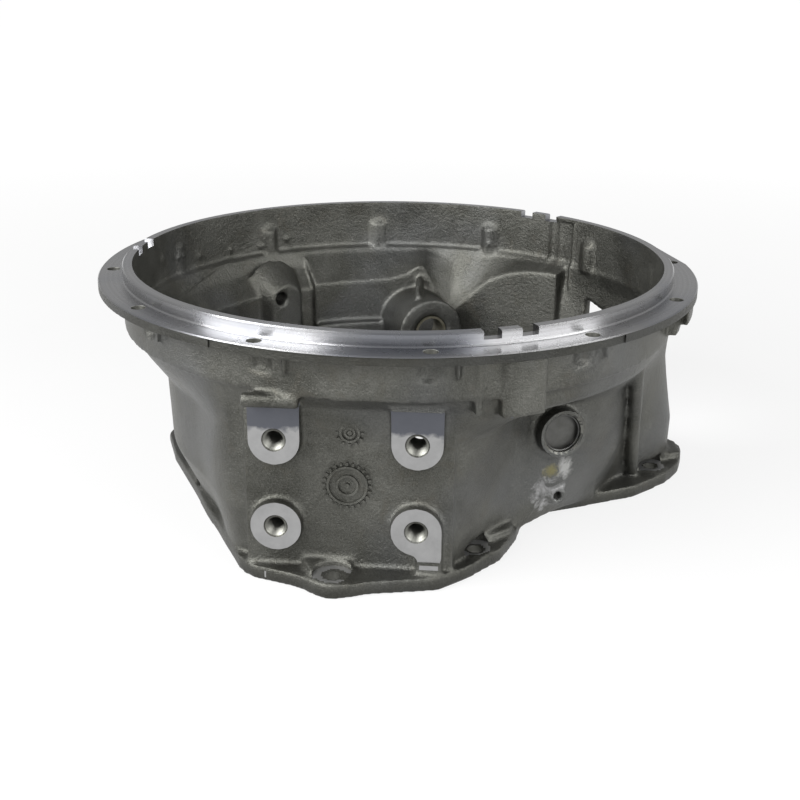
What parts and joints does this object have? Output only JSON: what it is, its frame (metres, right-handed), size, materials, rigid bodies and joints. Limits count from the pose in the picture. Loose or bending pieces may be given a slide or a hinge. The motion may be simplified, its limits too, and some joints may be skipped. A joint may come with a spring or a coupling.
{
  "type": "clutch housing",
  "caption": "Cast aluminium clutch housing with a round engine flange, a shaped gearbox joint face, a side mount panel and a release shaft bore.",
  "frame": {"origin": "centre of the gearbox register bore, on the gearbox joint face", "axes": "+Z along the crankshaft axis towards the engine flange; -Y out of the four-hole mount panel; +X across the panel towards the large joint-face lug"},
  "size_m": [0.5686, 0.5552, 0.226],
  "materials": {
    "casting": "as-cast with machined faces",
    "cap_steel": "matt",
    "spring_steel": "dark satin",
    "bush_steel": "satin"
  },
  "bodies": {
    "root": {"clutch_housing": "casting", "release_shaft_cap": "cap_steel", "cap_snap_ring": "spring_steel", "cap_side_bush": "bush_steel", "lever_side_bush": "bush_steel"}
  },
  "joints": []
}
